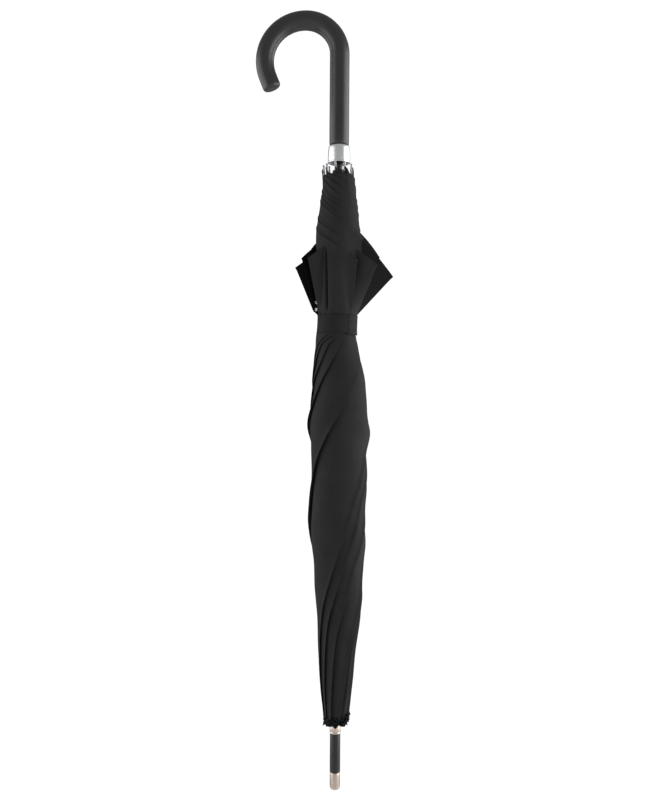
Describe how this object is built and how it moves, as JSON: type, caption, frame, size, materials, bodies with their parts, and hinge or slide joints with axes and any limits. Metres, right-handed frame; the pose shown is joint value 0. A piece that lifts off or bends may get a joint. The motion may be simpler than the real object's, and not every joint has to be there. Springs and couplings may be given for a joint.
{
  "type": "stick umbrella",
  "caption": "Full-length stick umbrella, furled and strapped, with a crook handle, metal rib cup, long ferrule and a folding rib frame that opens it.",
  "frame": {"origin": "on the shaft's axis at the flat end of the ferrule's cap", "axes": "+Z along the shaft towards the handle; the hook opens towards -X; -Y is the side the picture shows"},
  "size_m": [0.1603, 0.076, 0.8908],
  "materials": {
    "soft_touch_black": "soft-touch matte rubberised coating",
    "polished_chrome": "polished",
    "warm_nickel": "polished warm nickel",
    "black_steel": "black lacquer",
    "plated_ribs": "bright plated steel",
    "steel_pins": "plain steel wire and pressings",
    "stud_metal": "plated press studs",
    "black_plastic": "moulded nylon",
    "black_cloth": "tightly woven pongee polyester"
  },
  "bodies": {
    "shaft": {"shaft_tube": "black_steel", "crook_handle": "soft_touch_black", "handle_pin": "steel_pins", "rib_tip_cup": "polished_chrome", "end_cap": "warm_nickel", "ferrule_tube": "black_steel", "ferrule_ring": "warm_nickel", "crown_rosette": "black_cloth", "crown_notch": "black_plastic", "crown_pins": "steel_pins", "runner_stop_pin": "steel_pins"},
    "runner": {"runner_sleeve": "black_plastic", "runner_pins": "steel_pins"},
    "top_catch": {"top_catch": "steel_pins"},
    "bottom_catch": {"bottom_catch": "steel_pins"},
    "rib_1": {"rib_1": "plated_ribs"},
    "rib_rod_1": {"rib_rod_1": "plated_ribs"},
    "stretcher_1": {"stretcher_1": "plated_ribs"},
    "canopy_upper_1": {"canopy_upper_1": "black_cloth"},
    "canopy_lower_1": {"canopy_lower_1": "black_cloth"},
    "rib_2": {"rib_2": "plated_ribs"},
    "rib_rod_2": {"rib_rod_2": "plated_ribs"},
    "stretcher_2": {"stretcher_2": "plated_ribs"},
    "canopy_upper_2": {"canopy_upper_2": "black_cloth"},
    "canopy_lower_2": {"canopy_lower_2": "black_cloth"},
    "rib_3": {"rib_3": "plated_ribs"},
    "rib_rod_3": {"rib_rod_3": "plated_ribs"},
    "stretcher_3": {"stretcher_3": "plated_ribs"},
    "canopy_upper_3": {"canopy_upper_3": "black_cloth"},
    "canopy_lower_3": {"canopy_lower_3": "black_cloth"},
    "rib_4": {"rib_4": "plated_ribs"},
    "rib_rod_4": {"rib_rod_4": "plated_ribs"},
    "stretcher_4": {"stretcher_4": "plated_ribs"},
    "canopy_upper_4": {"canopy_upper_4": "black_cloth"},
    "canopy_lower_4": {"canopy_lower_4": "black_cloth", "strap_studs": "stud_metal"},
    "rib_5": {"rib_5": "plated_ribs"},
    "rib_rod_5": {"rib_rod_5": "plated_ribs"},
    "stretcher_5": {"stretcher_5": "plated_ribs"},
    "canopy_upper_5": {"canopy_upper_5": "black_cloth"},
    "canopy_lower_5": {"canopy_lower_5": "black_cloth"},
    "rib_6": {"rib_6": "plated_ribs"},
    "rib_rod_6": {"rib_rod_6": "plated_ribs"},
    "stretcher_6": {"stretcher_6": "plated_ribs"},
    "canopy_upper_6": {"canopy_upper_6": "black_cloth"},
    "canopy_lower_6": {"canopy_lower_6": "black_cloth", "tie_strap": "black_cloth"},
    "rib_7": {"rib_7": "plated_ribs"},
    "rib_rod_7": {"rib_rod_7": "plated_ribs"},
    "stretcher_7": {"stretcher_7": "plated_ribs"},
    "canopy_upper_7": {"canopy_upper_7": "black_cloth"},
    "canopy_lower_7": {"canopy_lower_7": "black_cloth"},
    "rib_8": {"rib_8": "plated_ribs"},
    "rib_rod_8": {"rib_rod_8": "plated_ribs"},
    "stretcher_8": {"stretcher_8": "plated_ribs"},
    "canopy_upper_8": {"canopy_upper_8": "black_cloth"},
    "canopy_lower_8": {"canopy_lower_8": "black_cloth"}
  },
  "joints": [
    {"name": "canopy_open", "type": "hinge", "parent": "shaft", "child": "rib_1", "pos_m": [0.00721, 0.00298, 0.092], "axis": [-0.3827, 0.9239, 0], "range_deg": [0, 78], "deforming": ["canopy_upper_1", "canopy_lower_1", "canopy_upper_2", "canopy_lower_2", "canopy_upper_3", "canopy_lower_3", "canopy_upper_4", "canopy_lower_4", "canopy_upper_5", "canopy_lower_5", "canopy_upper_6", "canopy_lower_6", "canopy_upper_7", "canopy_lower_7", "canopy_upper_8", "canopy_lower_8", "tie_strap", "strap_studs"]},
    {"name": "stretcher_1_rivet", "type": "hinge", "parent": "rib_1", "child": "stretcher_1", "pos_m": [0.00721, 0.00298, 0.377], "axis": [-0.3827, 0.9239, 0], "range_deg": [-156, 0]},
    {"name": "rib_1_flex", "type": "hinge", "parent": "rib_1", "child": "rib_rod_1", "pos_m": [0.00721, 0.00298, 0.377], "axis": [-0.3827, 0.9239, 0], "range_deg": [-34, 0]},
    {"name": "panel_1_upper_fold", "type": "hinge", "parent": "rib_1", "child": "canopy_upper_1", "pos_m": [0.00597, 0.00597, 0.092], "axis": [-0.5662, -0.5662, -0.599], "range_deg": [0, 55.74]},
    {"name": "panel_1_lower_fold", "type": "hinge", "parent": "rib_rod_1", "child": "canopy_lower_1", "pos_m": [0.2263, 0.2263, 0.092], "axis": [-0.6625, -0.6625, -0.3497], "range_deg": [0, 32.97]},
    {"name": "rib_2_hinge", "type": "hinge", "parent": "shaft", "child": "rib_2", "pos_m": [0.00298, 0.00721, 0.092], "axis": [-0.9239, 0.3827, 0], "range_deg": [0, 78]},
    {"name": "stretcher_2_rivet", "type": "hinge", "parent": "rib_2", "child": "stretcher_2", "pos_m": [0.00298, 0.00721, 0.377], "axis": [-0.9239, 0.3827, 0], "range_deg": [-156, 0]},
    {"name": "rib_2_flex", "type": "hinge", "parent": "rib_2", "child": "rib_rod_2", "pos_m": [0.00298, 0.00721, 0.377], "axis": [-0.9239, 0.3827, 0], "range_deg": [-34, 0]},
    {"name": "panel_2_upper_fold", "type": "hinge", "parent": "rib_2", "child": "canopy_upper_2", "pos_m": [0, 0.00844, 0.092], "axis": [0, -0.8007, -0.599], "range_deg": [0, 55.74]},
    {"name": "panel_2_lower_fold", "type": "hinge", "parent": "rib_rod_2", "child": "canopy_lower_2", "pos_m": [0, 0.32003, 0.092], "axis": [0, -0.9369, -0.3497], "range_deg": [0, 32.97]},
    {"name": "rib_3_hinge", "type": "hinge", "parent": "shaft", "child": "rib_3", "pos_m": [-0.00298, 0.00721, 0.092], "axis": [-0.9239, -0.3827, 0], "range_deg": [0, 78]},
    {"name": "stretcher_3_rivet", "type": "hinge", "parent": "rib_3", "child": "stretcher_3", "pos_m": [-0.00298, 0.00721, 0.377], "axis": [-0.9239, -0.3827, 0], "range_deg": [-156, 0]},
    {"name": "rib_3_flex", "type": "hinge", "parent": "rib_3", "child": "rib_rod_3", "pos_m": [-0.00298, 0.00721, 0.377], "axis": [-0.9239, -0.3827, 0], "range_deg": [-34, 0]},
    {"name": "panel_3_upper_fold", "type": "hinge", "parent": "rib_3", "child": "canopy_upper_3", "pos_m": [-0.00597, 0.00597, 0.092], "axis": [0.5662, -0.5662, -0.599], "range_deg": [0, 55.74]},
    {"name": "panel_3_lower_fold", "type": "hinge", "parent": "rib_rod_3", "child": "canopy_lower_3", "pos_m": [-0.2263, 0.2263, 0.092], "axis": [0.6625, -0.6625, -0.3497], "range_deg": [0, 32.97]},
    {"name": "rib_4_hinge", "type": "hinge", "parent": "shaft", "child": "rib_4", "pos_m": [-0.00721, 0.00298, 0.092], "axis": [-0.3827, -0.9239, 0], "range_deg": [0, 78]},
    {"name": "stretcher_4_rivet", "type": "hinge", "parent": "rib_4", "child": "stretcher_4", "pos_m": [-0.00721, 0.00298, 0.377], "axis": [-0.3827, -0.9239, 0], "range_deg": [-156, 0]},
    {"name": "rib_4_flex", "type": "hinge", "parent": "rib_4", "child": "rib_rod_4", "pos_m": [-0.00721, 0.00298, 0.377], "axis": [-0.3827, -0.9239, 0], "range_deg": [-34, 0]},
    {"name": "panel_4_upper_fold", "type": "hinge", "parent": "rib_4", "child": "canopy_upper_4", "pos_m": [-0.00844, 0, 0.092], "axis": [0.8007, 0, -0.599], "range_deg": [0, 55.74]},
    {"name": "panel_4_lower_fold", "type": "hinge", "parent": "rib_rod_4", "child": "canopy_lower_4", "pos_m": [-0.32003, 0, 0.092], "axis": [0.9369, 0, -0.3497], "range_deg": [0, 32.97]},
    {"name": "rib_5_hinge", "type": "hinge", "parent": "shaft", "child": "rib_5", "pos_m": [-0.00721, -0.00298, 0.092], "axis": [0.3827, -0.9239, 0], "range_deg": [0, 78]},
    {"name": "stretcher_5_rivet", "type": "hinge", "parent": "rib_5", "child": "stretcher_5", "pos_m": [-0.00721, -0.00298, 0.377], "axis": [0.3827, -0.9239, 0], "range_deg": [-156, 0]},
    {"name": "rib_5_flex", "type": "hinge", "parent": "rib_5", "child": "rib_rod_5", "pos_m": [-0.00721, -0.00298, 0.377], "axis": [0.3827, -0.9239, 0], "range_deg": [-34, 0]},
    {"name": "panel_5_upper_fold", "type": "hinge", "parent": "rib_5", "child": "canopy_upper_5", "pos_m": [-0.00597, -0.00597, 0.092], "axis": [0.5662, 0.5662, -0.599], "range_deg": [0, 55.74]},
    {"name": "panel_5_lower_fold", "type": "hinge", "parent": "rib_rod_5", "child": "canopy_lower_5", "pos_m": [-0.2263, -0.2263, 0.092], "axis": [0.6625, 0.6625, -0.3497], "range_deg": [0, 32.97]},
    {"name": "rib_6_hinge", "type": "hinge", "parent": "shaft", "child": "rib_6", "pos_m": [-0.00298, -0.00721, 0.092], "axis": [0.9239, -0.3827, 0], "range_deg": [0, 78]},
    {"name": "stretcher_6_rivet", "type": "hinge", "parent": "rib_6", "child": "stretcher_6", "pos_m": [-0.00298, -0.00721, 0.377], "axis": [0.9239, -0.3827, 0], "range_deg": [-156, 0]},
    {"name": "rib_6_flex", "type": "hinge", "parent": "rib_6", "child": "rib_rod_6", "pos_m": [-0.00298, -0.00721, 0.377], "axis": [0.9239, -0.3827, 0], "range_deg": [-34, 0]},
    {"name": "panel_6_upper_fold", "type": "hinge", "parent": "rib_6", "child": "canopy_upper_6", "pos_m": [0, -0.00844, 0.092], "axis": [0, 0.8007, -0.599], "range_deg": [0, 55.74]},
    {"name": "panel_6_lower_fold", "type": "hinge", "parent": "rib_rod_6", "child": "canopy_lower_6", "pos_m": [0, -0.32003, 0.092], "axis": [0, 0.9369, -0.3497], "range_deg": [0, 32.97]},
    {"name": "rib_7_hinge", "type": "hinge", "parent": "shaft", "child": "rib_7", "pos_m": [0.00298, -0.00721, 0.092], "axis": [0.9239, 0.3827, 0], "range_deg": [0, 78]},
    {"name": "stretcher_7_rivet", "type": "hinge", "parent": "rib_7", "child": "stretcher_7", "pos_m": [0.00298, -0.00721, 0.377], "axis": [0.9239, 0.3827, 0], "range_deg": [-156, 0]},
    {"name": "rib_7_flex", "type": "hinge", "parent": "rib_7", "child": "rib_rod_7", "pos_m": [0.00298, -0.00721, 0.377], "axis": [0.9239, 0.3827, 0], "range_deg": [-34, 0]},
    {"name": "panel_7_upper_fold", "type": "hinge", "parent": "rib_7", "child": "canopy_upper_7", "pos_m": [0.00597, -0.00597, 0.092], "axis": [-0.5662, 0.5662, -0.599], "range_deg": [0, 55.74]},
    {"name": "panel_7_lower_fold", "type": "hinge", "parent": "rib_rod_7", "child": "canopy_lower_7", "pos_m": [0.2263, -0.2263, 0.092], "axis": [-0.6625, 0.6625, -0.3497], "range_deg": [0, 32.97]},
    {"name": "rib_8_hinge", "type": "hinge", "parent": "shaft", "child": "rib_8", "pos_m": [0.00721, -0.00298, 0.092], "axis": [0.3827, 0.9239, 0], "range_deg": [0, 78]},
    {"name": "stretcher_8_rivet", "type": "hinge", "parent": "rib_8", "child": "stretcher_8", "pos_m": [0.00721, -0.00298, 0.377], "axis": [0.3827, 0.9239, 0], "range_deg": [-156, 0]},
    {"name": "rib_8_flex", "type": "hinge", "parent": "rib_8", "child": "rib_rod_8", "pos_m": [0.00721, -0.00298, 0.377], "axis": [0.3827, 0.9239, 0], "range_deg": [-34, 0]},
    {"name": "panel_8_upper_fold", "type": "hinge", "parent": "rib_8", "child": "canopy_upper_8", "pos_m": [0.00844, 0, 0.092], "axis": [-0.8007, 0, -0.599], "range_deg": [0, 55.74]},
    {"name": "panel_8_lower_fold", "type": "hinge", "parent": "rib_rod_8", "child": "canopy_lower_8", "pos_m": [0.32003, 0, 0.092], "axis": [-0.9369, 0, -0.3497], "range_deg": [0, 32.97]},
    {"name": "runner_pivot", "type": "hinge", "parent": "stretcher_1", "child": "runner", "pos_m": [0.00721, 0.00298, 0.662], "axis": [-0.3827, 0.9239, 0], "range_deg": [0, 78]},
    {"name": "top_catch_press", "type": "slide", "parent": "shaft", "child": "top_catch", "axis": [0, -1, 0], "range_m": [0, 0.002], "stiffness_N_per_m": 400},
    {"name": "bottom_catch_press", "type": "slide", "parent": "shaft", "child": "bottom_catch", "axis": [0, -1, 0], "range_m": [0, 0.002], "stiffness_N_per_m": 400}
  ],
  "couplings": [
    {"joint": "stretcher_1_rivet", "follows": "canopy_open", "ratio": -2},
    {"joint": "rib_1_flex", "follows": "canopy_open", "ratio": -0.4359},
    {"joint": "panel_1_upper_fold", "follows": "canopy_open", "ratio": 0.71464},
    {"joint": "panel_1_lower_fold", "follows": "canopy_open", "ratio": 0.42267},
    {"joint": "rib_2_hinge", "follows": "canopy_open", "ratio": 1},
    {"joint": "stretcher_2_rivet", "follows": "canopy_open", "ratio": -2},
    {"joint": "rib_2_flex", "follows": "canopy_open", "ratio": -0.4359},
    {"joint": "panel_2_upper_fold", "follows": "canopy_open", "ratio": 0.71464},
    {"joint": "panel_2_lower_fold", "follows": "canopy_open", "ratio": 0.42267},
    {"joint": "rib_3_hinge", "follows": "canopy_open", "ratio": 1},
    {"joint": "stretcher_3_rivet", "follows": "canopy_open", "ratio": -2},
    {"joint": "rib_3_flex", "follows": "canopy_open", "ratio": -0.4359},
    {"joint": "panel_3_upper_fold", "follows": "canopy_open", "ratio": 0.71464},
    {"joint": "panel_3_lower_fold", "follows": "canopy_open", "ratio": 0.42267},
    {"joint": "rib_4_hinge", "follows": "canopy_open", "ratio": 1},
    {"joint": "stretcher_4_rivet", "follows": "canopy_open", "ratio": -2},
    {"joint": "rib_4_flex", "follows": "canopy_open", "ratio": -0.4359},
    {"joint": "panel_4_upper_fold", "follows": "canopy_open", "ratio": 0.71464},
    {"joint": "panel_4_lower_fold", "follows": "canopy_open", "ratio": 0.42267},
    {"joint": "rib_5_hinge", "follows": "canopy_open", "ratio": 1},
    {"joint": "stretcher_5_rivet", "follows": "canopy_open", "ratio": -2},
    {"joint": "rib_5_flex", "follows": "canopy_open", "ratio": -0.4359},
    {"joint": "panel_5_upper_fold", "follows": "canopy_open", "ratio": 0.71464},
    {"joint": "panel_5_lower_fold", "follows": "canopy_open", "ratio": 0.42267},
    {"joint": "rib_6_hinge", "follows": "canopy_open", "ratio": 1},
    {"joint": "stretcher_6_rivet", "follows": "canopy_open", "ratio": -2},
    {"joint": "rib_6_flex", "follows": "canopy_open", "ratio": -0.4359},
    {"joint": "panel_6_upper_fold", "follows": "canopy_open", "ratio": 0.71464},
    {"joint": "panel_6_lower_fold", "follows": "canopy_open", "ratio": 0.42267},
    {"joint": "rib_7_hinge", "follows": "canopy_open", "ratio": 1},
    {"joint": "stretcher_7_rivet", "follows": "canopy_open", "ratio": -2},
    {"joint": "rib_7_flex", "follows": "canopy_open", "ratio": -0.4359},
    {"joint": "panel_7_upper_fold", "follows": "canopy_open", "ratio": 0.71464},
    {"joint": "panel_7_lower_fold", "follows": "canopy_open", "ratio": 0.42267},
    {"joint": "rib_8_hinge", "follows": "canopy_open", "ratio": 1},
    {"joint": "stretcher_8_rivet", "follows": "canopy_open", "ratio": -2},
    {"joint": "rib_8_flex", "follows": "canopy_open", "ratio": -0.4359},
    {"joint": "panel_8_upper_fold", "follows": "canopy_open", "ratio": 0.71464},
    {"joint": "panel_8_lower_fold", "follows": "canopy_open", "ratio": 0.42267},
    {"joint": "runner_pivot", "follows": "canopy_open", "ratio": 1}
  ]
}
